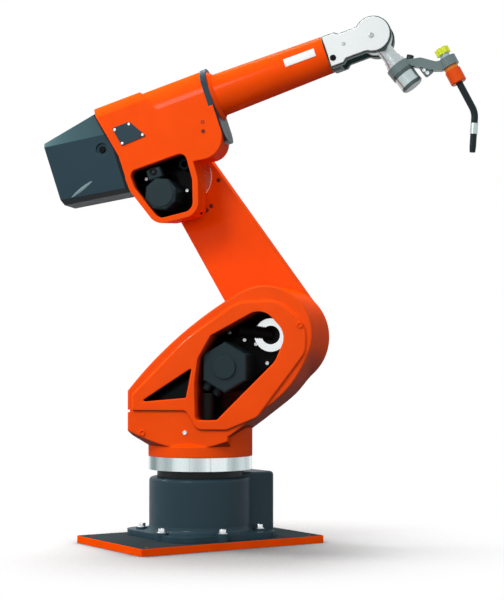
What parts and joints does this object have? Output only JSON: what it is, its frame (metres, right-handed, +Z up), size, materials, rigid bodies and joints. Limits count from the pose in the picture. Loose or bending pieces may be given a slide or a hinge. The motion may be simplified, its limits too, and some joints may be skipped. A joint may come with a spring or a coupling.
{
  "type": "six-axis arc welding robot arm on a ground plate",
  "caption": "Jointed robot arm on a turning column, with a roll forearm, a wrist and a welding torch, standing on a steel ground plate.",
  "frame": {"origin": "on the first axis, at the underside of the ground plate", "axes": "+Z up along the first axis, +X along the ground plate's long side; at rest the arm is swung 45 degrees clockwise from +X, as in the picture"},
  "size_m": [1.106, 1.106, 1.7562],
  "materials": {
    "orange_paint": "satin",
    "plate_paint": "satin",
    "anthracite_paint": "satin",
    "machined_steel": "brushed",
    "motor_black": "matt",
    "rubber_black": "matt",
    "grey_casting": "satin",
    "light_alloy": "satin",
    "white_cover": "satin",
    "torch_orange": "gloss",
    "neck_black": "satin",
    "yellow_plastic": "gloss",
    "white_plastic": "satin"
  },
  "bodies": {
    "base": {"ground_plate": "plate_paint", "base_casting": "anthracite_paint", "base_neck": "anthracite_paint"},
    "column": {"bearing_ring": "machined_steel", "column_casting": "orange_paint", "axis2_gear_case": "motor_black", "axis2_motor": "motor_black", "axis2_gear_ring": "machined_steel", "axis2_gear_plug": "rubber_black", "axis1_motor": "motor_black", "axis2_flange": "machined_steel"},
    "link": {"link_arm": "orange_paint", "link_lower_cap": "orange_paint", "link_upper_cap": "orange_paint"},
    "arm": {"arm_housing": "orange_paint", "rear_cover": "anthracite_paint", "axis3_motor": "motor_black", "axis3_flange": "machined_steel", "forearm_bearing": "anthracite_paint", "housing_plate": "anthracite_paint"},
    "forearm": {"forearm_tube": "orange_paint", "label_plate": "white_cover", "wrist_fork": "grey_casting", "wrist_cover_near": "white_cover", "wrist_cover_far": "grey_casting"},
    "hand": {"hand": "light_alloy"},
    "tool": {"tool_flange": "light_alloy", "breakaway_sensor": "grey_casting", "torch_bracket": "grey_casting", "torch_holder": "torch_orange", "torch_ring": "torch_orange", "torch_neck": "neck_black", "neck_sleeve": "machined_steel", "gas_nozzle": "neck_black", "yellow_knob": "yellow_plastic", "knob_base": "white_plastic", "bracket_knob": "rubber_black"}
  },
  "joints": [
    {"name": "axis1_swing", "type": "hinge", "parent": "base", "child": "column", "pos_m": [0, 0, 0.25], "axis": [0, 0, 1], "range_deg": [-125, 215]},
    {"name": "axis2_shoulder", "type": "hinge", "parent": "column", "child": "link", "pos_m": [0.24183, -0.11455, 0.7], "axis": [0.7071, 0.7071, 0], "range_deg": [-34, 120]},
    {"name": "axis3_elbow", "type": "hinge", "parent": "link", "child": "arm", "pos_m": [0.0097, 0.11758, 1.25289], "axis": [-0.7071, -0.7071, 0], "range_deg": [-50, 200]},
    {"name": "axis4_forearm_roll", "type": "hinge", "parent": "arm", "child": "forearm", "pos_m": [-0.10021, 0.10021, 1.4519], "axis": [0.6717, -0.6717, 0.3123], "range_deg": [-180, 180]},
    {"name": "axis5_wrist_bend", "type": "hinge", "parent": "forearm", "child": "hand", "pos_m": [0.42307, -0.42307, 1.69521], "axis": [-0.7071, -0.7071, 0], "range_deg": [-44, 186]},
    {"name": "axis6_tool_roll", "type": "hinge", "parent": "hand", "child": "tool", "pos_m": [0.42307, -0.42307, 1.69521], "axis": [0.4255, -0.4255, -0.7986], "range_deg": [-180, 180]}
  ]
}
